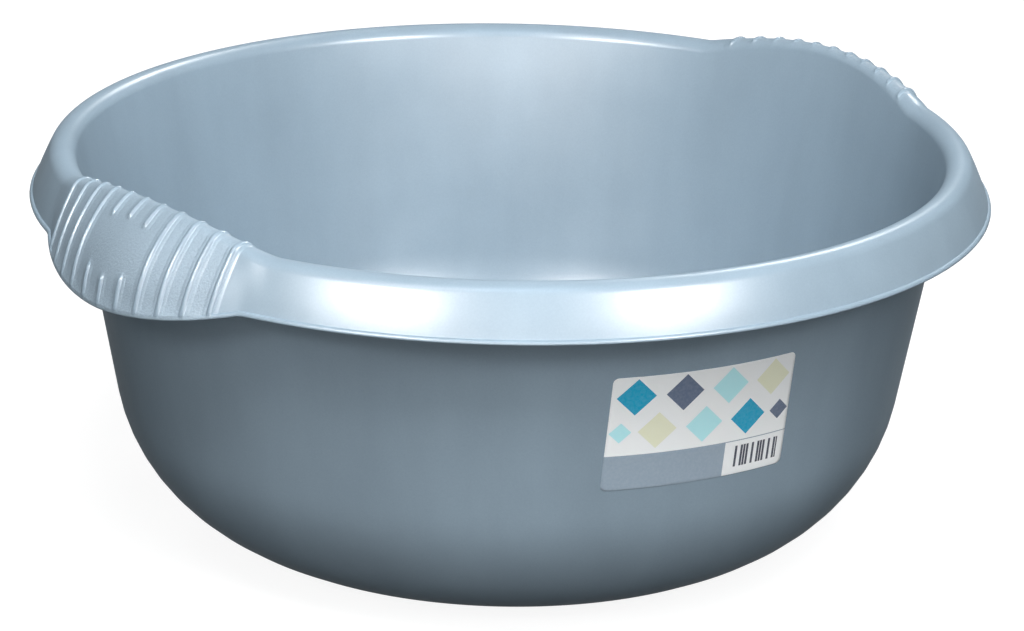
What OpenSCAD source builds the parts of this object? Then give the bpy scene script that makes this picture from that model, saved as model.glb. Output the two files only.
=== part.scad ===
// Round washing up bowl: one thin moulded shell with a rolled rim, a hanging flange and two
// ribbed lens-shaped grips, and the printed sticker on its wall.
// The bowl stands on its foot ring at z = 0, with its axis on Z and its grips on the X axis.

/* [Bowl] */
// Diameter over the flange, between the grips
rim_d = 360; // [300:1:420]
// Height of the rolled rim above the table
rim_h = 149.5; // [120:0.5:180]
// Wall thickness
wall_t = 2; // [1.8:0.1:2.6]
// Thickness of the base
base_t = 2.6; // [2:0.1:3.4]
// Draft of the wall, in degrees from upright
draft = 10.2; // [5:0.2:13]
// Outside radius where the wall turns into the base
corner_r = 68; // [45:1:80]
// Height that the foot ring lifts the base
foot_h = 1.2; // [0.8:0.1:2]
// Width of the foot ring
foot_w = 5; // [3:0.5:8]
// Diameter of the dish round the moulding gate's mark, under the base
gate_d = 10; // [7:0.5:14]
// Depth of that dish
gate_depth = 0.6; // [0.3:0.1:0.8]

/* [Rim] */
// Radius of the rolled crest, outside
roll_r = 5.5; // [5:0.1:8]
// How far the flange hangs below the top of the rim
flange_drop = 19; // [15:0.5:24]
// Gap between the flange's edge and the wall
flange_gap = 18.5; // [15:0.5:22]
// Radius of the flange's outward bow
flange_bow = 120; // [80:5:200]
// Height of the bead along the flange's edge
bead_h = 1.8; // [1.2:0.1:2.4]
// How far the bead stands proud of the flange
bead_out = 0.8; // [0.5:0.1:1]

/* [Grips] */
// How far a grip's crest rises above the rim
grip_rise = 8.1; // [5:0.1:10]
// Angle from the middle of a grip to the end of its crest
crest_half = 21; // [18:0.5:24]
// How far a grip's edge swells outwards
grip_swell = 9.4; // [6:0.1:12]
// How far a grip's edge dips below the flange
grip_dip = 8.7; // [5:0.1:10]
// Angle from the middle of a grip to the end of its edge
edge_half = 18.6; // [16:0.2:20]
// Radius of a grip's crest in its middle
grip_roll_r = 3.6; // [3.4:0.1:5]
// Radius of a grip's outward bow in its middle
grip_bow = 46; // [38:1:70]

/* [Ribs] */
// Ribs on each grip, an odd number
rib_count = 11; // [7:2:11]
// Distance between neighbouring ribs, which run side by side
rib_pitch = 9.5; // [8:0.1:9.6]
// Width of a rib
rib_w = 3.6; // [2.4:0.1:4.4]
// Height of a rib above the grip
rib_h = 1.1; // [0.6:0.1:1.4]
// Distance from a rib's lower end, which runs into the bead, to the edge of the grip
rib_end_gap = 1; // [0.8:0.1:6]
// Width of the bare oval in the middle of the ribs
oval_w = 36; // [24:1:37]
// Height of the bare oval
oval_h = 22; // [12:1:24]
// Distance from the middle of the oval to the edge of the grip
oval_up = 23; // [20:0.5:25]

/* [Sticker] */
// Width of the sticker
label_w = 72; // [50:1:90]
// Height of the sticker, along the wall
label_h = 45; // [30:1:50]
// Radius of its corners
label_corner = 3; // [1:0.5:6]
// Thickness of the sticker
label_t = 0.2; // [0.1:0.05:0.3]
// How far its middle lies below the middle of the straight wall
label_down = 5.2; // [0:0.1:8]
// Direction in which the sticker faces
label_az = -104; // [-120:1:-60]

/* [Hidden] */
$fn = 96;

silver_blue = [0.60, 0.66, 0.71];
sticker_white = [0.95, 0.96, 0.96];

// Steps along each curve of the section
corner_steps = 18;
roll_steps = 8;
bow_steps = 8;

// The bead's outline along the flange's edge: share of its height, share of its depth
bead_shape = [[0, 0], [0.15, 0.7], [0.4, 1], [0.8, 1], [1, 0.65]];

// The grips are let into the rim by this much, as a moulding insert leaves them
insert_step = 0.08;
// How deep a grip's foot and its two ends reach into the bowl around it
foot_depth = 3;
end_depth = 1.5;
// How far below a grip's edge, and how far inside the wall, the rim makes room for the grip
room_below = 5;
room_inside = 10;
// An angle from a grip's middle at which there is only the plain rim
plain_rim = 90;

flange_z = rim_h - flange_drop;
wall_at_flange = rim_d / 2 - flange_gap;
bow_r_at_edge = rim_d / 2 - bead_out;

// Radius of the wall at a height: outside, and the same line moved inwards by a depth
function wall_r(z, depth = 0) = wall_at_flange + (z - flange_z) * tan(draft) - depth / cos(draft);
function polar(c, r, a) = [c.x + r * cos(a), c.y + r * sin(a)];
function arc(c, r, from, to, steps) = [for (i = [0:steps]) polar(c, r, from + (to - from) * i / steps)];
function direction(v) = atan2(v.y, v.x);

// How much of a grip's rise and swell there is at an angle from its middle
function crest_share(a) = pow(max(0, 1 - pow(a / crest_half, 2)), 1.15);
function edge_share(a) = max(0, 1 - pow(abs(a) / edge_half, 1.8));

// The rim's section at an angle from a grip's middle is two arcs, the rolled crest and the bowed
// flange, tangent to each other and to the wall. rim_form gives
// [crest centre, crest radius, bow centre, bow radius, angle where they meet, angle at the edge].
function rim_form(a) =
    let (
        rise = grip_rise * crest_share(a),
        share = edge_share(a),
        roll = roll_r + (grip_roll_r - roll_r) * share,
        bow = 1 / ((1 - share) / flange_bow + share / grip_bow),
        crest_z = rim_h + rise - roll,
        crest = [wall_r(crest_z, wall_t) + roll / cos(draft), crest_z],
        edge = [bow_r_at_edge + grip_swell * share, flange_z - grip_dip * share],
        reach = norm(edge - crest),
        turn = acos((pow(bow - roll, 2) + reach * reach - bow * bow) / (2 * (bow - roll) * reach)),
        meet = direction(edge - crest) - turn + 180,
        centre = polar(crest, bow - roll, meet + 180)
    )
    [crest, roll, centre, bow, meet, direction(edge - centre)];

// Angle that the bead takes up along the bow
function bead_angle(f) = bead_h / f[3] * 180 / PI;

// The skin of the rim at a depth below its outer face, from the wall over the crest to the edge
function rim_skin(f, depth, bead) =
    concat(
        arc(f[0], f[1] - depth, 180 - draft, f[4], roll_steps),
        [for (i = [1:bow_steps - 1])
            polar(f[2], f[3] - depth, f[4] + (f[5] + bead_angle(f) - f[4]) * i / bow_steps)],
        [for (s = bead_shape)
            polar(f[2], f[3] - depth + s[1] * bead, f[5] + bead_angle(f) * (1 - s[0]))]
    );

// Base and corner
corner_z = corner_r;
corner_x = wall_r(corner_z) - corner_r / cos(draft);
inner_corner_r = corner_r - base_t;
inner_corner_z = foot_h + base_t + inner_corner_r;
inner_corner_x = wall_r(inner_corner_z, wall_t) - inner_corner_r / cos(draft);
foot_r = corner_x - foot_w;
gate_top = foot_h + gate_depth;
gate_r = gate_d / 2;
// Radius and height of the stub of plastic that is left in the dish
stub_r = 1.3;
stub_h = 0.4;

function inside_of_bowl() =
    concat(
        [[0, foot_h + base_t]],
        arc([inner_corner_x, inner_corner_z], inner_corner_r, -90, -draft, corner_steps),
        rim_skin(rim_form(plain_rim), 0, bead_out)
    );

function outside_of_bowl() =
    concat(
        [[0, gate_top - stub_h], [stub_r, gate_top - stub_h], [stub_r, gate_top]],
        [[gate_r - gate_depth, gate_top], [gate_r, foot_h]],
        [[foot_r - foot_h, foot_h], [foot_r, 0]],
        arc([corner_x, corner_z], corner_r, -90, -draft, corner_steps),
        rim_skin(rim_form(plain_rim), wall_t, 0)
    );

function reversed(list) = [for (i = [len(list) - 1:-1:0]) list[i]];

module plain_bowl() {
    rotate_extrude()
        polygon(concat(inside_of_bowl(), reversed(outside_of_bowl())));
}

// A grip takes the rim's place between these angles and above this height
grip_cut_z = flange_z - grip_dip - room_below;
grip_cut_half = crest_half + 0.5;

module grip_room() {
    inner_r = wall_r(grip_cut_z, wall_t) - room_inside;
    rotate_extrude(angle = 2 * grip_cut_half, start = -grip_cut_half)
        translate([inner_r, grip_cut_z])
            square([rim_d, rim_h]);
}

// One section of a grip, as a closed loop of points round both of its skins
function grip_loop(a) =
    let (
        f = rim_form(a),
        foot_z = grip_cut_z - foot_depth,
        outer = insert_step,
        inner = wall_t - insert_step
    )
    concat(
        [[wall_r(foot_z, wall_t - insert_step), foot_z]],
        rim_skin(f, outer, bead_out),
        reversed(rim_skin(f, inner, 0)),
        [[wall_r(foot_z, insert_step), foot_z]]
    );

// Angle between a grip's sections
section_step = 2.5;
section_count = floor(grip_cut_half / section_step);
end_angle = grip_cut_half + end_depth / (rim_d / 2) * 180 / PI;
grip_angles = concat(
    [-end_angle],
    [for (i = [-section_count:section_count]) i * section_step],
    [end_angle]
);

function lift(p, a) = [p.x * cos(a), p.x * sin(a), p.y];

module grip_shell() {
    loops = [for (a = grip_angles) [for (p = grip_loop(a)) lift(p, a)]];
    n = len(loops[0]);
    last = len(loops) - 1;
    sides = [
        for (i = [0:last - 1], j = [0:n - 1])
            let (k = (j + 1) % n, near = i * n, far = (i + 1) * n)
            each [[near + j, far + j, far + k], [near + j, far + k, near + k]]
    ];
    // Each end is a ladder between the two skins
    ends = [
        for (e = [0, last], j = [0:n / 2 - 2])
            let (o = e * n, a = o + j, b = o + j + 1, c = o + n - 2 - j, d = o + n - 1 - j)
            each (e == 0 ? [[a, b, c], [a, c, d]] : [[a, c, b], [a, d, c]])
    ];
    polyhedron(points = [for (l = loops) each l], faces = concat(sides, ends));
}

// A point on a grip's outer face: across the grip from its middle, up from its edge, and above it
function face_point(f, up, above) =
    let (bow_length = f[3] * (f[4] - f[5]) * PI / 180)
    up < bow_length
        ? polar(f[2], f[3] + above, f[5] + up / f[3] * 180 / PI)
        : polar(f[0], f[1] + above, f[4] + (up - bow_length) / f[1] * 180 / PI);

function grip_spot(across, up, above) =
    let (
        guess = face_point(rim_form(asin(2 * across / rim_d)), up, 0),
        a = asin(across / guess.x)
    )
    lift(face_point(rim_form(a), up, above), a);

// A rib's outline across itself: share of half its width, share of its height
rib_shape = [[-1, 0], [-0.65, 0.75], [0, 1], [0.65, 0.75], [1, 0]];
// How deep a rib's root is sunk into the grip
rib_root = 0.9;
// Where a rib narrows at its round ends: distance in shares of its half width, share of its size
rib_end_shape = [[0, 0.35], [0.35, 0.8], [1, 1]];
// Longest step along a rib
rib_step = 5;

function rib_loop(across, up, size) =
    concat(
        [for (s = rib_shape) grip_spot(across + s[0] * size * rib_w / 2, up, s[1] * size * rib_h)],
        [for (side = [1, -1]) grip_spot(across + side * size * rib_w / 2, up, -rib_root)]
    );

module rib(across, from, to) {
    first = [for (e = rib_end_shape) [from + e[0] * rib_w / 2, e[1]]];
    last = [for (e = reversed(rib_end_shape)) [to - e[0] * rib_w / 2, e[1]]];
    steps = ceil((to - from) / rib_step);
    between = [for (i = [1:steps - 1]) [from + rib_w / 2 + (to - from - rib_w) * i / steps, 1]];
    stations = concat(first, between, last);
    n = len(rib_shape) + 2;
    end = (len(stations) - 1) * n;
    sides = [
        for (i = [0:len(stations) - 2], j = [0:n - 1])
            let (k = (j + 1) % n, near = i * n, far = (i + 1) * n)
            each [[near + j, far + j, far + k], [near + j, far + k, near + k]]
    ];
    ends = [for (j = [1:n - 2]) each [[0, j, j + 1], [end, end + j + 1, end + j]]];
    polyhedron(
        points = [for (s = stations) each rib_loop(across, s[0], s[1])],
        faces = concat(sides, ends)
    );
}

// Ribs run over the crest as far as this angle on it
rib_top_angle = 115;

function rib_top(across) =
    let (f = rim_form(asin(2 * across / rim_d)))
    (f[3] * (f[4] - f[5]) + f[1] * (rib_top_angle - f[4])) * PI / 180;

module ribs() {
    for (i = [-(rib_count - 1) / 2:(rib_count - 1) / 2]) {
        across = i * rib_pitch;
        share = 1 - pow(2 * across / oval_w, 2);
        if (share > 0) {
            rib(across, rib_end_gap, oval_up - oval_h / 2 * sqrt(share));
            rib(across, oval_up + oval_h / 2 * sqrt(share), rib_top(across));
        } else {
            rib(across, rib_end_gap, rib_top(across));
        }
    }
}

module grip() {
    grip_shell();
    ribs();
}

module bowl() {
    color(silver_blue) {
        difference() {
            plain_bowl();
            grip_room();
            rotate([0, 0, 180])
                grip_room();
        }
        grip();
        rotate([0, 0, 180])
            grip();
    }
}

// The sticker is cut from a strip round the straight wall, twice as wide and twice as tall
straight_from = corner_z - corner_r * sin(draft);
label_z = (straight_from + flange_z) / 2 - label_down;
strip_half = label_w / wall_r(label_z) * 180 / PI;

module label() {
    low = label_z - label_h;
    high = label_z + label_h;
    color(sticker_white)
        intersection() {
            rotate_extrude(angle = 2 * strip_half, start = label_az - strip_half)
                polygon([
                    [wall_r(low), low],
                    [wall_r(low) + label_t, low],
                    [wall_r(high) + label_t, high],
                    [wall_r(high), high]
                ]);
            rotate([0, 0, label_az])
                translate([0, 0, label_z])
                    rotate([90, 0, 90])
                        linear_extrude(rim_d / 2)
                            label_outline();
        }
}

module label_outline() {
    offset(r = label_corner)
        square([label_w, label_h * cos(draft)] - 2 * [label_corner, label_corner], center = true);
}

bowl();
label();
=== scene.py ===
import math

import bpy
import numpy as np
from mathutils import Matrix, Vector


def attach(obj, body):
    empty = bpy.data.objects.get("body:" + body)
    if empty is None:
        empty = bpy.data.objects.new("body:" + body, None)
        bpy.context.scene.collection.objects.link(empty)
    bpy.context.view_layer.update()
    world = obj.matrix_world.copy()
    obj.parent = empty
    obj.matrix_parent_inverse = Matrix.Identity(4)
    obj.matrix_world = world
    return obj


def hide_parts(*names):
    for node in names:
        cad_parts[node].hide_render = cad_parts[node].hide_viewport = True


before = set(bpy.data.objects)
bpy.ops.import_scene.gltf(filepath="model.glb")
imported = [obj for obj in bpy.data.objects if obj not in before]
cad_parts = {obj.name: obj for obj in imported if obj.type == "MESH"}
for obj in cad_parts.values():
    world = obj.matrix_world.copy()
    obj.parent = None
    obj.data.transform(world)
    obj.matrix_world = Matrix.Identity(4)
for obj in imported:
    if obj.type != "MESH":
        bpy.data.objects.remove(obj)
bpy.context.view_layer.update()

# All sizes of the bowl are in millimetres, and its objects are in metres.
MM = 0.001
DEG = math.pi / 180

# Body of the bowl
RIM_D = 360
RIM_H = 149.5
WALL_T = 2
BASE_T = 2.6
DRAFT = 10.2 * DEG
CORNER_R = 68
FOOT_H = 1.2
FOOT_W = 5
GATE_D = 10
GATE_DEPTH = 0.6
STUB_R = 1.3
STUB_H = 0.4

# Rolled rim and hanging flange
ROLL_R = 5.5
FLANGE_DROP = 19
FLANGE_GAP = 18.5
FLANGE_BOW = 120
BEAD_H = 1.8
BEAD_OUT = 0.8
BEAD_MERGE = 6
# The bead stands full out at this share of its height, and falls back by BEAD_TAPER of that at its foot
BEAD_FULL = 0.45
BEAD_TAPER = 0.35
GROOVE_DEPTH = 0.12
GROOVE_UP = 0.25
GROOVE_HALF = 0.3
FLANGE_Z = RIM_H - FLANGE_DROP
WALL_AT_FLANGE = RIM_D / 2 - FLANGE_GAP

# Grips, whose middles are on the X axis
GRIP_RISE = 8.1
CREST_HALF = 21
GRIP_SWELL = 9.4
GRIP_DIP = 8.7
EDGE_HALF = 18.6
GRIP_ROLL_R = 3.6
GRIP_BOW = 46
# With t the angle from a grip's middle as a share of its half angle, the crest rises in step with
# (1 - t**2)**RISE_POWER, and the edge swells in step with 1 - t**SWELL_POWER
RISE_POWER = 1.15
SWELL_POWER = 1.8

# Ribs on a grip, each a round back on a low flat pad, and the bare oval among them
RIB_COUNT = 11
RIB_PITCH = 9.5
RIB_H = 1
RIB_HALF = 1.2
RIB_END_GAP = 1
PAD_H = 0.15
PAD_HALF = 2.5
PAD_EDGE = 0.2
# Towards their ends on the crest the ribs lose this share of their height
RIB_FADE = 0.22
RIB_FADE_REACH = 9
RIB_TOP_ANGLE = 115
# The grips' fine grain ends over GRAIN_EASE beside the last rib, and over GRAIN_TOP_EASE past the ribs'
# tops. On a rib's back it falls by SHINE, over a rise of SHINE_RISE above the pad
GRAIN_EASE = 1.5
GRAIN_TOP_EASE = 2
SHINE = 1.5
SHINE_RISE = 0.3
# The bead turns into a plain rise over this distance inside the last rib
BEAD_EASE = 6
OVAL_W = 36
OVAL_H = 22
OVAL_UP = 23

# Sticker: its middle lies below the middle of the straight wall
STICKER_W = 72
STICKER_H = 45
STICKER_CORNER = 2
STICKER_T = 0.2
# The film thins by this share over its outermost stretch, and its back is let this far into the wall
STICKER_THIN = 0.25
STICKER_EASE = 0.8
STICKER_INTO = 0.05
STICKER_DOWN = 5.2
STICKER_AZ = -104
STICKER_Z = (CORNER_R * (1 - math.sin(DRAFT)) + FLANGE_Z) / 2 - STICKER_DOWN
STICKER_HALF_Z = STICKER_H / 2 * math.cos(DRAFT)

# The sticker's print, in millimetres from its middle. Each diamond is (across, up, half width, ink)
INK = {
    "white": (0.93, 0.96, 0.97, 1),
    "slate": (0.11, 0.15, 0.235, 1),
    "teal": (0.002, 0.36, 0.58, 1),
    "cream": (0.84, 0.86, 0.66, 1),
    "aqua": (0.5, 0.88, 0.93, 1),
    "grey": (0.3, 0.38, 0.46, 1),
    "dark": (0.05, 0.06, 0.09, 1),
}
DIAMONDS = [
    (-27, 14.5, 7.2, "teal"),
    (-9, 14.5, 7.2, "slate"),
    (9, 14.5, 7.2, "aqua"),
    (27, 14.5, 7.2, "cream"),
    (-18, 0.5, 7.2, "cream"),
    (0, 0.5, 7.2, "aqua"),
    (18, 0.5, 7.2, "teal"),
    (31.5, 0.5, 4, "slate"),
    (-31.5, 0.5, 4, "aqua"),
]
PANEL_TOP = -9
PANEL_END = 10
# The block of stripes: from and to, across and up, and the line over the panel
BLOCK_X = (13, 33)
BLOCK_Y = (-19.5, -11)
LINE_W = 0.35
# Broad and fine stripes: pitch, and the share of it that is dark
BROAD_STRIPES = (2.4, 0.4)
FINE_STRIPES = (3.6, 0.25)

# Camera, as the photograph was taken: its distance from a point on the bowl's axis
CAMERA_AIM_Z = 75
CAMERA_FAR = 1600
CAMERA_AZIMUTH = -130.6
CAMERA_PITCH = 19.08
CAMERA_ROLL = 1.08
IMAGE_W, IMAGE_H = 1024, 631
FOCAL_PX = 4207.17
MIDDLE_PX = (507.92, 327.48)
SENSOR = 36

# Light: name, direction it stands in, its height above the horizon, its size in metres, and its power
# for matte surfaces and in the gloss
LAMPS = [
    ("left_box", -160, 29, (0.56, 0.25), 3.6, 42),
    ("right_box", -92.5, 29, (0.52, 0.25), 3.4, 43),
    ("low_box", -130, 24, (0.6, 0.4), 5, 7),
    ("horizon_box", -130, 10, (1.3, 0.3), 0, 13),
    ("wide_box", -115, 40, (0.8, 0.5), 7.3, 0),
    ("front_box", -129, 59, (0.8, 0.6), 28.5, 0),
    ("right_high_box", -85, 58, (0.6, 0.4), 5.4, 0),
    ("left_high_box", -158, 52, (0.4, 0.3), 0, 6),
    ("back_high_box", 29, 40, (0.4, 0.3), 0, 19),
    ("back_left_box", 62, 16, (0.6, 0.4), 8, 0),
    ("back_right_box", 12, 16, (0.6, 0.4), 9, 3),
]
LAMP_FAR = 1.6
LAMP_AIM = Vector((0, 0, 0.08))
# In the gloss the lamps are as much warmer as the plastic is bluer, so that it mirrors them white
GLOSS_COLOUR = (1, 0.76, 0.635)
PLASTIC = (0.235, 0.308, 0.37, 1)
# Tint at glancing angles: it keeps the plastic's edges dark against the white surround
EDGE_TINT = (0.12, 0.12, 0.12, 1)
# How far each pattern moves the pigment between its darker and its lighter tone
PIGMENT_RANGE = (0.93, 1.07)
FLOW_TONE = 1.1
CLOUD_TONE = 0.2
FLAKE_TONE = 0.35
GRAIN_TONE = 0.8
# Roughness of the plastic, what the patterns add to it, and the depth of its bumps in metres
SKIN_ROUGHNESS = 0.32
CLOUD_ROUGHNESS = 0.05
GRAIN_ROUGHNESS = 0.28
SKIN_BUMP = 0.2
GRAIN_BUMP = 1.6
BUMP_DEPTH = 0.00006
# The sticker's film: roughness, wear of its inks towards white, and bump
FILM_ROUGHNESS = (0.34, 0.08)
INK_WEAR = (0.02, 0.06)
FILM_BUMP_DEPTH = 0.00012
# Light of the world on the bowl, the floor's colour for it, and how the floor looks to the camera
WORLD_LIGHT = 0.015
FLOOR_BOUNCE = 0.05
FLOOR_LIT = 0.2
FLOOR_GLOW = 0.9
# Half the floor's side, and how far the camera sees, in metres
FLOOR_REACH = 4
VIEW_REACH = 20


def wall_r(z, depth=0):
    """Radius of the wall at a height: outside, and the same line moved inwards by a depth."""
    return WALL_AT_FLANGE + (z - FLANGE_Z) * math.tan(DRAFT) - depth / math.cos(DRAFT)


def smooth(t):
    t = np.clip(t, 0, 1)
    return t * t * (3 - 2 * t)


def rim_form(a):
    """The two arcs of the rim's section at an angle in degrees from a grip's middle."""
    rise = GRIP_RISE * np.clip(1 - (a / CREST_HALF) ** 2, 0, None) ** RISE_POWER
    share = np.clip(1 - (np.abs(a) / EDGE_HALF) ** SWELL_POWER, 0, None)
    roll = ROLL_R + (GRIP_ROLL_R - ROLL_R) * share
    bow = 1 / ((1 - share) / FLANGE_BOW + share / GRIP_BOW)
    crest_z = RIM_H + rise - roll
    crest_x = wall_r(crest_z, WALL_T) + roll / math.cos(DRAFT)
    edge_x = RIM_D / 2 - BEAD_OUT + GRIP_SWELL * share - crest_x
    edge_z = FLANGE_Z - GRIP_DIP * share - crest_z
    reach = np.hypot(edge_x, edge_z)
    turn = np.arccos(((bow - roll) ** 2 + reach**2 - bow**2) / (2 * (bow - roll) * reach))
    meet = np.arctan2(edge_z, edge_x) - turn + math.pi
    bow_x = crest_x - (bow - roll) * np.cos(meet)
    bow_z = crest_z - (bow - roll) * np.sin(meet)
    edge = np.arctan2(edge_z + crest_z - bow_z, edge_x + crest_x - bow_x)
    return {
        "crest": (crest_x, crest_z, roll),
        "bow": (bow_x, bow_z, bow),
        "meet": meet,
        "edge": edge,
        "bow_length": bow * (meet - edge),
    }


def rib_segments():
    """(across, from, to) of each rib: where it runs across the grip, and its ends up from the edge."""
    found = []
    for i in range(RIB_COUNT):
        across = (i - (RIB_COUNT - 1) / 2) * RIB_PITCH
        form = rim_form(np.array(math.asin(2 * across / RIM_D) / DEG))
        top = form["bow_length"] + form["crest"][2] * (RIB_TOP_ANGLE * DEG - form["meet"])
        share = 1 - (2 * across / OVAL_W) ** 2
        if share > 0:
            half = OVAL_H / 2 * math.sqrt(share)
            found.append((across, RIB_END_GAP, OVAL_UP - half))
            found.append((across, OVAL_UP + half, float(top)))
        else:
            found.append((across, RIB_END_GAP, float(top)))
    return found


RIBS = rib_segments()


def rib_height(across, up, top):
    """Height of the ribs at points across a grip and up from its edge: a round back on a low flat pad."""
    radius = (RIB_HALF**2 + RIB_H**2) / (2 * RIB_H)
    height = np.zeros(np.broadcast(across, up).shape)
    for middle, low, high in RIBS:
        along = np.clip(np.maximum(low + RIB_HALF - up, up - high + RIB_HALF), 0, None)
        far = np.hypot(across - middle, along)
        back = np.sqrt(radius**2 - np.clip(far, 0, RIB_HALF) ** 2) - radius + RIB_H
        pad = PAD_H * smooth((PAD_HALF - far) / PAD_EDGE)
        fade = 1 - RIB_FADE * smooth((up - top + RIB_FADE_REACH) / RIB_FADE_REACH)
        height = np.maximum(height, np.maximum(back, pad) * fade)
    return height


def in_grip(across, start, end):
    """1 among the ribs, falling to 0 between two distances outside the last one's middle."""
    last = (RIB_COUNT - 1) / 2 * RIB_PITCH
    return smooth((last + end - np.abs(across)) / (end - start))


def outer_relief(across, up, top):
    """Height above the plain outer face, and how much of the grips' fine grain there is.

    The grain is 1 between the ribs, 0 away from them, and below 0 on their backs, which shine more.
    """
    merge = in_grip(across, -BEAD_EASE, 0)
    ribs = rib_height(across, up, top)
    grain = in_grip(across, RIB_HALF, RIB_HALF + GRAIN_EASE) * smooth(1 - (up - top) / GRAIN_TOP_EASE)
    bead = bead_height(up, 1 - merge)
    rise = BEAD_OUT * np.clip(1 - (up - BEAD_H) / BEAD_MERGE, 0, 1) ** 2 * (up > BEAD_H / 2)
    plain = np.maximum(bead, merge * rise)
    shine = SHINE * smooth((ribs - PAD_H) / SHINE_RISE)
    return plain * (1 - ribs / RIB_H) + ribs, grain * (1 - shine)


def bead_height(up, grooved=1):
    """How far the bead stands proud at points up from the edge, with the fine groove above it."""
    t = up / BEAD_H
    shoulder = np.sqrt(np.clip(1 - (np.clip(t - BEAD_FULL, 0, None) / (1 - BEAD_FULL)) ** 2, 0, 1))
    lower = 1 - BEAD_TAPER * (np.clip(BEAD_FULL - t, 0, None) / BEAD_FULL) ** 2
    groove = GROOVE_DEPTH * np.exp(-(((up - BEAD_H - GROOVE_UP) / GROOVE_HALF) ** 2))
    return BEAD_OUT * np.where(t > BEAD_FULL, shoulder, lower) * (t <= 1) - groove * grooved * (t > 1)


def arc(centre, radius, start, end, steps):
    """Points of an arc, from one angle to another."""
    angles = np.linspace(start, end, steps + 1)
    return [(centre[0] + radius * math.cos(t), centre[1] + radius * math.sin(t)) for t in angles]


ROUND_STEPS = 3
ROUND_SHARE = 0.45


def rounded(points, radius):
    """An open outline of points with each inner corner rounded, over less than half of its sides."""
    out = [points[0]]
    for before, here, after in zip(points, points[1:], points[2:]):
        here = Vector(here)
        back, ahead = (Vector(before) - here), (Vector(after) - here)
        reach = min(radius, back.length * ROUND_SHARE, ahead.length * ROUND_SHARE)
        a, b = here + back.normalized() * reach, here + ahead.normalized() * reach
        for i in range(ROUND_STEPS + 1):
            t = i / ROUND_STEPS
            out.append(tuple(a * (1 - t) ** 2 + here * 2 * t * (1 - t) + b * t * t))
    out.append(points[-1])
    return out


# The bowl's columns. Between the ribs they run side by side, and round the rest they are spread by
# angle: closer up to PLAIN_FROM degrees from the grip's middle than beyond it.
# RIB_SIDE holds the columns beside a rib, by their distance from its middle
RIB_SIDE = (0.35, 0.7, 0.95, 1.12, 1.22, 1.4, 2.25, 2.4, 2.55, 2.8)
RIB_OFFSETS = (-RIB_PITCH / 2, *[-x for x in reversed(RIB_SIDE)], 0, *RIB_SIDE)
# Columns run straight across the grip nearer than STRAIGHT_TO - STRAIGHT_EASE degrees to its middle
STRAIGHT_TO = 36
STRAIGHT_EASE = 18
PLAIN_FROM = 27
END_COLUMNS = 14
PLAIN_COLUMNS = 32
ANGLE_ROUNDS = 6


def column_angles():
    """Angles of one half's columns at the rim's outer radius, from -90 to just under 90 degrees."""
    ribbed = [
        (i - (RIB_COUNT - 1) / 2) * RIB_PITCH + offset for i in range(RIB_COUNT) for offset in RIB_OFFSETS
    ]
    ribbed.append(RIB_COUNT * RIB_PITCH / 2)
    middle = [math.asin(2 * y / RIM_D) / DEG for y in ribbed]
    ends = np.linspace(middle[-1], PLAIN_FROM, END_COLUMNS + 1)[1:]
    plain = np.linspace(PLAIN_FROM, 90, PLAIN_COLUMNS + 1)[1:]
    right = [*ends, *plain]
    return np.array([*[-x for x in reversed(right)], *middle, *right[:-1]])


def section_azimuth(columns, x):
    """Angle of each point from the grip's middle: a constant distance across it near the ribs."""
    along = smooth((STRAIGHT_TO - np.abs(columns)) / STRAIGHT_EASE)
    r = RIM_D / 2 + along * (x - RIM_D / 2)
    return np.arcsin(np.clip(RIM_D / 2 * np.sin(columns * DEG) / r, -1, 1)) / DEG


def rim_row(columns, place):
    """x, z, azimuth, across and up of one row on the rim. place(form) gives (x, z, up)."""
    a = columns
    # A point's angle depends on its radius and the other way round, so both are found in a few rounds
    for _ in range(ANGLE_ROUNDS):
        x, z, up = place(rim_form(a))
        a = section_azimuth(columns, x)
    x, z, up = place(rim_form(a))
    return x, z, a, x * np.sin(a * DEG), up


def on_arc(form, name, angle, above):
    """x and z of points at angles on one of the section's arcs, or above it."""
    cx, cz, radius = form[name]
    return cx + (radius + above) * np.cos(angle), cz + (radius + above) * np.sin(angle)


def crest_row(t, depth):
    """A row on the rolled crest: t from 0 at the wall to 1 where the bow starts."""

    def place(form):
        angle = (math.pi - DRAFT) * (1 - t) + form["meet"] * t
        up = form["bow_length"] + form["crest"][2] * (angle - form["meet"])
        return *on_arc(form, "crest", angle, -depth), up

    return place


def bow_row(t, depth, low):
    """A row on the bow: t from 0 where the bow starts to 1 at a distance low from the edge."""

    def place(form):
        up = form["bow_length"] * (1 - t) + low * t
        angle = form["edge"] + up / form["bow"][2]
        return *on_arc(form, "bow", angle, -depth), up

    return place


# Steps from row to row on the crest, on the bow and on the inner skin under them
CREST_STEPS = 16
BOW_STEPS = 36
UNDER_STEPS = 5
# Rows over the bead, by their distance up from the edge, and the radius of the edge itself
BEAD_ROWS = (2.7, 2.35, 2.05, 1.85, 1.79, 1.72, 1.6, 1.4, 1.1, 0.8)
LIP = 0.55
LIP_STEPS = 4


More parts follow.
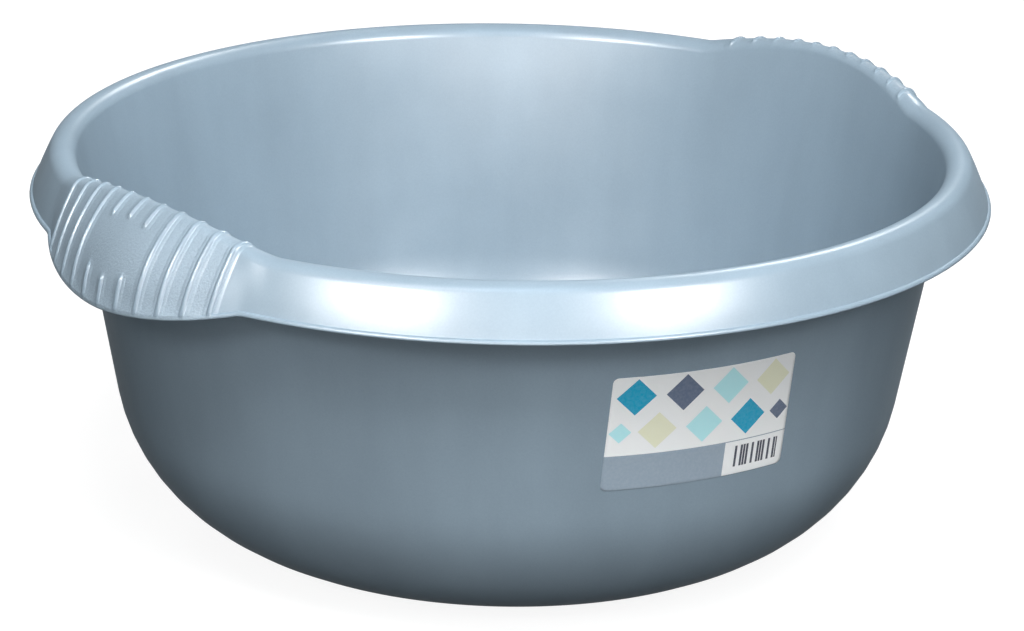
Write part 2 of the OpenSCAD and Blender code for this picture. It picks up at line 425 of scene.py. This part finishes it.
def outer_rows(columns):
    """Rows of the rim's outer face from the wall over the crest to the bead, with ribs and bead."""
    bead_top = BEAD_ROWS[0]
    places = [crest_row(i / CREST_STEPS, 0) for i in range(CREST_STEPS)]
    places += [bow_row(i / BOW_STEPS, 0, bead_top) for i in range(BOW_STEPS)]
    places += [bow_row(1, 0, up) for up in (*BEAD_ROWS, LIP)]
    rows = []
    for place in places:
        x, z, a, across, up = rim_row(columns, place)
        form = rim_form(a)
        angle = np.where(
            up > form["bow_length"],
            form["meet"] + (up - form["bow_length"]) / form["crest"][2],
            form["edge"] + up / form["bow"][2],
        )
        top = form["bow_length"] + form["crest"][2] * (RIB_TOP_ANGLE * DEG - form["meet"])
        above, grain = outer_relief(across, up, top)
        rows.append((x + above * np.cos(angle), z + above * np.sin(angle), a, grain))
    return rows


def lip_rows(columns):
    """Rows round the flange's lower edge, from the bead to the inner skin."""
    proud = float(bead_height(np.array(LIP)))
    rows = []
    quarter = np.linspace(0, math.pi / 2, LIP_STEPS + 1)
    turns = [(LIP * (1 - math.sin(t)), proud - LIP * (1 - math.cos(t))) for t in quarter[1:]]
    turns += [(0, -WALL_T / 2)]
    turns += [(LIP * (1 - math.cos(t)), -WALL_T + LIP * (1 - math.sin(t))) for t in quarter]
    for up, above in turns:
        x, z, a, _, _ = rim_row(columns, bow_row(1, -above, up))
        rows.append((x, z, a, 0 * a))
    return rows


def under_rows(columns):
    """Rows of the rim's inner skin, from the edge up to the wall."""
    places = [bow_row(1 - i / UNDER_STEPS, WALL_T, LIP) for i in range(1, UNDER_STEPS)]
    places += [crest_row(1 - i / UNDER_STEPS, WALL_T) for i in range(UNDER_STEPS + 1)]
    rows = [rim_row(columns, place) for place in places]
    return [(x, z, a, 0 * a) for x, z, a, _, _ in rows]


# Rows of the floor, in shares of its flat part's radius, and steps round the corner
FLOOR_ROWS = (0.08, 0.2, 0.4, 0.6, 0.8)
INNER_CORNER_STEPS = 12
OUTER_CORNER_STEPS = 13
# Reach of the small roundings on the foot ring and the gate
FOOT_ROUND = 0.5
GATE_ROUND = 0.3
# Radius of the stub's top, and of the last row on it, as shares of its foot's
STUB_TAPER = 0.8
STUB_INNER = 0.3


def inner_outline():
    """(x, z) of the inside below the rim, from the floor's middle to the end of its corner."""
    radius = CORNER_R - BASE_T
    z = FOOT_H + BASE_T + radius
    x = wall_r(z, WALL_T) - radius / math.cos(DRAFT)
    floor = [(x * t, FOOT_H + BASE_T) for t in FLOOR_ROWS]
    return floor + arc((x, z), radius, -math.pi / 2, -DRAFT, INNER_CORNER_STEPS)


def outer_outline():
    """(x, z) of the outside below the rim, from the end of the corner to the middle of the base."""
    corner_x = wall_r(CORNER_R) - CORNER_R / math.cos(DRAFT)
    foot_r = corner_x - FOOT_W
    top = FOOT_H + GATE_DEPTH
    gate_r = GATE_D / 2
    corner = arc((corner_x, CORNER_R), CORNER_R, -DRAFT, -math.pi / 2, OUTER_CORNER_STEPS)
    step = [corner[-1], (foot_r, 0), (foot_r - FOOT_H, FOOT_H), (foot_r / 2, FOOT_H)]
    foot = rounded(step, FOOT_ROUND)
    gate = rounded(
        [
            (foot_r / 4, FOOT_H),
            (gate_r, FOOT_H),
            (gate_r - GATE_DEPTH, top),
            (STUB_R, top),
            (STUB_R * STUB_TAPER, top - STUB_H),
            (STUB_R * STUB_INNER, top - STUB_H),
        ],
        GATE_ROUND,
    )
    return corner + foot[1:] + gate


WALL_STEPS = 4


def wall_rows(start, end):
    """Rows on the straight wall between two rows, without either."""
    shares = [i / WALL_STEPS for i in range(1, WALL_STEPS)]
    return [tuple(p * (1 - t) + q * t for p, q in zip(start, end)) for t in shares]


def level(point, a):
    """A row that is round: the same x and z all the way."""
    return np.full(a.shape, point[0]), np.full(a.shape, point[1]), a, 0 * a


def half_rows(columns):
    """All rows of the section, from the floor's middle round the rim to the middle of the base."""
    outer = outer_rows(columns)
    under = under_rows(columns)
    inside = [level(p, outer[0][2]) for p in inner_outline()]
    outside = [level(p, under[-1][2]) for p in outer_outline()]
    return [
        *inside,
        *wall_rows(inside[-1], outer[0]),
        *outer,
        *lip_rows(columns),
        *under,
        *wall_rows(under[-1], outside[0]),
        *outside,
    ]


def bowl_mesh():
    columns = column_angles()
    rows = half_rows(columns)
    x = np.array([r[0] for r in rows])
    z = np.array([r[1] for r in rows])
    a = np.array([r[2] for r in rows])
    px, py = x * np.cos(a * DEG), x * np.sin(a * DEG)
    # The second half is the first one turned by half a turn
    px = np.concatenate([px, -px], axis=1)
    py = np.concatenate([py, -py], axis=1)
    pz = np.concatenate([z, z], axis=1)
    count, width = px.shape
    grain = np.concatenate([np.array([r[3] for r in rows])] * 2, axis=1).reshape(-1)
    points = np.stack([px, py, pz], axis=2).reshape(-1, 3)
    middles = np.array([[0, 0, rows[0][1][0]], [0, 0, rows[-1][1][0]]])
    points = np.concatenate([points, middles]) * MM
    i, j = np.meshgrid(np.arange(count - 1), np.arange(width), indexing="ij")
    k = (j + 1) % width
    quads = np.stack([i * width + j, i * width + k, (i + 1) * width + k, (i + 1) * width + j], axis=2)
    ring = np.arange(width)
    ahead = (ring + 1) % width
    first, last = count * width, count * width + 1
    low = (count - 1) * width
    fans = [np.stack([np.full(width, first), ahead, ring], axis=1)]
    fans.append(np.stack([np.full(width, last), low + ring, low + ahead], axis=1))
    faces = quads.reshape(-1, 4)[:, ::-1].tolist() + np.concatenate(fans)[:, ::-1].tolist()
    mesh = bpy.data.meshes.new("bowl_shell")
    mesh.from_pydata(points.tolist(), [], faces)
    mesh.shade_smooth()
    # How much of the grips' grain each point has: the last two are the middles of the floor and the base
    mesh.attributes.new("grain", "FLOAT", "POINT").data.foreach_set("value", [*grain, 0, 0])
    return mesh


STICKER_CORNER_STEPS = 6
STICKER_ROWS = 24
STICKER_COLUMNS = 60


def corner_cut(v):
    """How far a rounded corner takes the sticker's side in at a height from its middle."""
    into = np.clip(np.abs(v) - (STICKER_HALF_Z - STICKER_CORNER), 0, STICKER_CORNER)
    return STICKER_CORNER - np.sqrt(STICKER_CORNER**2 - into**2)


def sticker_mesh():
    """A thin sheet on the wall's cone, with its place in the print kept at each point in millimetres."""
    turn = np.linspace(0, math.pi / 2, STICKER_CORNER_STEPS + 1)
    bend = STICKER_HALF_Z - STICKER_CORNER * (1 - np.sin(turn))
    rows = np.array([*-bend[::-1], *np.linspace(-bend[0], bend[0], STICKER_ROWS + 1)[1:-1], *bend])
    columns = np.linspace(-1, 1, STICKER_COLUMNS + 1)
    v, share = np.meshgrid(rows, columns, indexing="ij")
    u = share * (STICKER_W / 2 - corner_cut(v))
    # Lower at its rim than inside, as film that was pressed on
    rim = np.minimum(STICKER_W / 2 - np.abs(u), STICKER_HALF_Z - np.abs(v))
    face = STICKER_T * (1 - STICKER_THIN + STICKER_THIN * smooth(rim / STICKER_EASE))
    layers = []
    for above in (face, 0 * face - STICKER_INTO):
        r = wall_r(STICKER_Z + v) + above
        a = STICKER_AZ * DEG + np.arcsin(u / r)
        layers.append(np.stack([r * np.cos(a), r * np.sin(a), STICKER_Z + v], axis=2).reshape(-1, 3))
    count, width = v.shape
    spots = np.arange(count * width).reshape(count, width)
    corners = [spots[:-1, :-1], spots[:-1, 1:], spots[1:, 1:], spots[1:, :-1]]
    front = np.stack(corners, axis=2).reshape(-1, 4)
    back = front[:, ::-1] + count * width
    edge = np.concatenate([spots[0, :-1], spots[:-1, -1], spots[-1, :0:-1], spots[:0:-1, 0]])
    after = np.roll(edge, -1)
    sides = np.stack([edge, edge + count * width, after + count * width, after], axis=1)
    mesh = bpy.data.meshes.new("sticker")
    faces = np.concatenate([front, back, sides])
    mesh.from_pydata((np.concatenate(layers) * MM).tolist(), [], faces.tolist())
    mesh.shade_smooth()
    place = np.stack([u, v / math.cos(DRAFT), 0 * u], axis=2).reshape(-1)
    mesh.attributes.new("print", "FLOAT_VECTOR", "POINT").data.foreach_set("vector", [*place, *place])
    return mesh


def make_camera():
    azimuth, pitch, roll = CAMERA_AZIMUTH * DEG, CAMERA_PITCH * DEG, CAMERA_ROLL * DEG
    out = Vector((math.cos(azimuth), math.sin(azimuth), 0))
    place = out * CAMERA_FAR * math.cos(pitch) + Vector((0, 0, CAMERA_AIM_Z + CAMERA_FAR * math.sin(pitch)))
    ahead = -out * math.cos(pitch) - Vector((0, 0, math.sin(pitch)))
    right = ahead.cross(Vector((0, 0, 1))).normalized()
    above = right.cross(ahead)
    side = right * math.cos(roll) + above * math.sin(roll)
    top = above * math.cos(roll) - right * math.sin(roll)
    data = bpy.data.cameras.new("camera")
    data.sensor_width = SENSOR
    data.lens = FOCAL_PX / IMAGE_W * SENSOR
    data.shift_x = (IMAGE_W / 2 - MIDDLE_PX[0]) / IMAGE_W
    data.shift_y = (MIDDLE_PX[1] - IMAGE_H / 2) / IMAGE_W
    data.clip_end = VIEW_REACH
    camera = bpy.data.objects.new("camera", data)
    turn = Matrix((side, top, -ahead)).transposed().to_4x4()
    camera.matrix_world = Matrix.Translation(place * MM) @ turn
    bpy.context.scene.collection.objects.link(camera)
    bpy.context.scene.camera = camera


class Material:
    """A node material under construction. Inputs may be numbers, colours or other nodes' outputs."""

    def __init__(self, name):
        self.material = bpy.data.materials.new(name)
        self.material.use_nodes = True
        self.nodes, self.links = self.material.node_tree.nodes, self.material.node_tree.links
        self.shader = self.nodes["Principled BSDF"]

    def put(self, socket, value):
        if isinstance(value, bpy.types.NodeSocket):
            self.links.new(value, socket)
        else:
            socket.default_value = value

    def set(self, **values):
        """Sets the shader's own sockets: Coat_Weight=0.1 stands for Coat Weight."""
        for name, value in values.items():
            self.put(self.shader.inputs[name.replace("_", " ")], value)

    def math(self, operation, *values):
        node = self.nodes.new("ShaderNodeMath")
        node.operation = operation
        for socket, value in zip(node.inputs, values):
            self.put(socket, value)
        return node.outputs[0]

    def attribute(self, name, output="Fac"):
        node = self.nodes.new("ShaderNodeAttribute")
        node.attribute_name = name
        return node.outputs[output]

    def noise(self, waves, detail, stretch=(1, 1, 1)):
        """Noise from -1 to 1, mostly within a third of that, with so many waves per metre."""
        place = self.nodes.new("ShaderNodeTexCoord").outputs["Object"]
        mapping = self.nodes.new("ShaderNodeMapping")
        mapping.inputs["Scale"].default_value = stretch
        self.put(mapping.inputs["Vector"], place)
        node = self.nodes.new("ShaderNodeTexNoise")
        node.inputs["Scale"].default_value = waves
        node.inputs["Detail"].default_value = detail
        self.put(node.inputs["Vector"], mapping.outputs["Vector"])
        return self.math("MULTIPLY_ADD", node.outputs["Fac"], 2, -1)

    def mix(self, factor, first, second):
        node = self.nodes.new("ShaderNodeMix")
        node.data_type = "RGBA"
        self.put(node.inputs["Factor"], factor)
        self.put(node.inputs["A"], first)
        self.put(node.inputs["B"], second)
        return node.outputs["Result"]

    def bump(self, height, distance):
        node = self.nodes.new("ShaderNodeBump")
        node.inputs["Distance"].default_value = distance
        self.put(node.inputs["Height"], height)
        self.put(self.shader.inputs["Normal"], node.outputs["Normal"])


def shade(colour, share):
    return (*[c * share for c in colour[:3]], 1)


def plastic():
    """Silver blue moulded plastic: pearl pigment with faint flow marks, and a fine grain in the grips."""
    m = Material("pearl_plastic")
    m.set(Metallic=0.15, Specular_IOR_Level=0, Specular_Tint=EDGE_TINT)
    m.set(Coat_Weight=0.05, Coat_Roughness=0.2)
    grain = m.attribute("grain")
    flow = m.noise(waves=26, detail=4, stretch=(1, 1, 0.16))
    cloud = m.noise(waves=60, detail=3)
    flake = m.noise(waves=1500, detail=1)
    speckle = m.noise(waves=1250, detail=2)
    tone = m.math("MULTIPLY_ADD", flow, FLOW_TONE, 0.5)
    tone = m.math("MULTIPLY_ADD", cloud, CLOUD_TONE, tone)
    tone = m.math("MULTIPLY_ADD", flake, FLAKE_TONE, tone)
    tone = m.math("MULTIPLY_ADD", m.math("MULTIPLY", speckle, grain), GRAIN_TONE, tone)
    darker, lighter = [shade(PLASTIC, share) for share in PIGMENT_RANGE]
    m.set(Base_Color=m.mix(tone, darker, lighter))
    gloss = m.math("MULTIPLY_ADD", cloud, CLOUD_ROUGHNESS, SKIN_ROUGHNESS)
    m.set(Roughness=m.math("MULTIPLY_ADD", grain, GRAIN_ROUGHNESS, gloss))
    skin = m.math("MULTIPLY", m.noise(waves=260, detail=2), SKIN_BUMP)
    grained = m.math("MULTIPLY", speckle, grain)
    m.bump(m.math("MULTIPLY_ADD", grained, GRAIN_BUMP, skin), BUMP_DEPTH)
    return m.material


def sticker_print():
    """Satin film with a print: two rows of diamonds over a grey panel and a block of plain stripes."""
    m = Material("printed_film")
    m.set(Specular_IOR_Level=0.2, Coat_Weight=0.1, Coat_Roughness=0.2)
    place = m.nodes.new("ShaderNodeSeparateXYZ")
    m.put(place.inputs["Vector"], m.attribute("print", "Vector"))
    u, v = place.outputs["X"], place.outputs["Y"]

    def inside(value, low, high):
        return m.math("MULTIPLY", m.math("GREATER_THAN", value, low), m.math("LESS_THAN", value, high))

    def diamond(across, up, half):
        aside = m.math("ABSOLUTE", m.math("SUBTRACT", u, across))
        above = m.math("ABSOLUTE", m.math("SUBTRACT", v, up))
        return m.math("LESS_THAN", m.math("ADD", aside, above), half)

    def striped(pitch, share):
        return m.math("LESS_THAN", m.math("FRACT", m.math("MULTIPLY", u, 1 / pitch)), share)

    colour = INK["white"]
    for across, up, half, ink in DIAMONDS:
        colour = m.mix(diamond(across, up, half), colour, INK[ink])
    panel = m.math("MULTIPLY", m.math("LESS_THAN", v, PANEL_TOP), m.math("LESS_THAN", u, PANEL_END))
    colour = m.mix(panel, colour, INK["grey"])
    block = m.math("MULTIPLY", inside(u, *BLOCK_X), inside(v, *BLOCK_Y))
    stripes = m.math("MAXIMUM", striped(*BROAD_STRIPES), striped(*FINE_STRIPES))
    colour = m.mix(m.math("MULTIPLY", block, stripes), colour, INK["dark"])
    line = inside(v, PANEL_TOP, PANEL_TOP + LINE_W)
    colour = m.mix(line, colour, INK["grey"])
    worn, wear_range = INK_WEAR
    ink_wear = m.math("MULTIPLY_ADD", m.noise(waves=900, detail=2), wear_range, worn)
    m.set(Base_Color=m.mix(ink_wear, colour, INK["white"]))
    satin, satin_range = FILM_ROUGHNESS
    m.set(Roughness=m.math("MULTIPLY_ADD", m.noise(waves=120, detail=2), satin_range, satin))
    m.bump(m.noise(waves=90, detail=3), FILM_BUMP_DEPTH)
    return m.material


def add_piece(name, mesh, material):
    piece = bpy.data.objects.new(name, mesh)
    bpy.context.scene.collection.objects.link(piece)
    mesh.materials.append(material)
    return piece


def area_light(name, azimuth, elevation, size, power, gloss):
    """A soft box that faces the bowl from a direction, for matte surfaces or for the gloss."""
    a, e = azimuth * DEG, elevation * DEG
    out = Vector((math.cos(a) * math.cos(e), math.sin(a) * math.cos(e), math.sin(e)))
    data = bpy.data.lights.new(name, "AREA")
    data.shape = "RECTANGLE"
    data.size, data.size_y = size
    data.energy = power
    if gloss:
        data.color = GLOSS_COLOUR
    lamp = bpy.data.objects.new(name, data)
    lamp.location = LAMP_AIM + out * LAMP_FAR
    lamp.rotation_euler = out.to_track_quat("Z", "Y").to_euler()
    lamp.visible_glossy = gloss
    lamp.visible_diffuse = not gloss
    bpy.context.scene.collection.objects.link(lamp)


def seen_by(nodes, links):
    """1 for the rays that show the plain white surround: those of the camera, and mirrored or bent ones."""
    paths = nodes.new("ShaderNodeLightPath")
    total = paths.outputs["Is Camera Ray"]
    for name in ("Is Glossy Ray", "Is Transmission Ray"):
        add = nodes.new("ShaderNodeMath")
        add.use_clamp = True
        links.new(total, add.inputs[0])
        links.new(paths.outputs[name], add.inputs[1])
        total = add.outputs[0]
    return total


def make_world():
    world = bpy.data.worlds.new("world")
    bpy.context.scene.world = world
    world.use_nodes = True
    nodes, links = world.node_tree.nodes, world.node_tree.links
    dim = nodes["Background"]
    dim.inputs["Color"].default_value = (1, 1, 1, 1)
    dim.inputs["Strength"].default_value = WORLD_LIGHT
    white = nodes.new("ShaderNodeBackground")
    white.inputs["Color"].default_value = (1, 1, 1, 1)
    mix = nodes.new("ShaderNodeMixShader")
    links.new(seen_by(nodes, links), mix.inputs["Fac"])
    links.new(dim.outputs["Background"], mix.inputs[1])
    links.new(white.outputs["Background"], mix.inputs[2])
    links.new(mix.outputs["Shader"], nodes["World Output"].inputs["Surface"])


def make_lights():
    for name, azimuth, elevation, size, matte, gloss in LAMPS:
        if matte:
            area_light(name, azimuth, elevation, size, matte, False)
        if gloss:
            area_light(name + "_gloss", azimuth, elevation, size, gloss, True)


def make_floor():
    """A white floor that keeps the bowl's shadow: part of its white is its own glow, the rest is lit."""
    floor = Material("floor")
    nodes, links, shader = floor.nodes, floor.links, floor.shader
    shader.inputs["Base Color"].default_value = (*[FLOOR_BOUNCE] * 3, 1)
    shader.inputs["Roughness"].default_value = 1
    shader.inputs["Specular IOR Level"].default_value = 0
    lit = nodes.new("ShaderNodeBsdfDiffuse")
    lit.inputs["Color"].default_value = (*[FLOOR_LIT] * 3, 1)
    glow = nodes.new("ShaderNodeEmission")
    glow.inputs["Strength"].default_value = FLOOR_GLOW
    white = nodes.new("ShaderNodeAddShader")
    links.new(lit.outputs["BSDF"], white.inputs[0])
    links.new(glow.outputs["Emission"], white.inputs[1])
    mix = nodes.new("ShaderNodeMixShader")
    links.new(seen_by(nodes, links), mix.inputs["Fac"])
    links.new(shader.outputs["BSDF"], mix.inputs[1])
    links.new(white.outputs["Shader"], mix.inputs[2])
    links.new(mix.outputs["Shader"], nodes["Material Output"].inputs["Surface"])
    mesh = bpy.data.meshes.new("floor")
    corners = [(-1, -1), (1, -1), (1, 1), (-1, 1)]
    mesh.from_pydata([(x * FLOOR_REACH, y * FLOOR_REACH, 0) for x, y in corners], [], [(0, 1, 2, 3)])
    add_piece("floor", mesh, floor.material)


make_camera()
bowl = add_piece("bowl_shell", bowl_mesh(), plastic())
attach(bowl, "root")
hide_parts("bowl")
sticker = add_piece("sticker", sticker_mesh(), sticker_print())
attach(sticker, "root")
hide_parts("label")
make_lights()
make_world()
make_floor()
bpy.context.scene.view_settings.view_transform = "Standard"
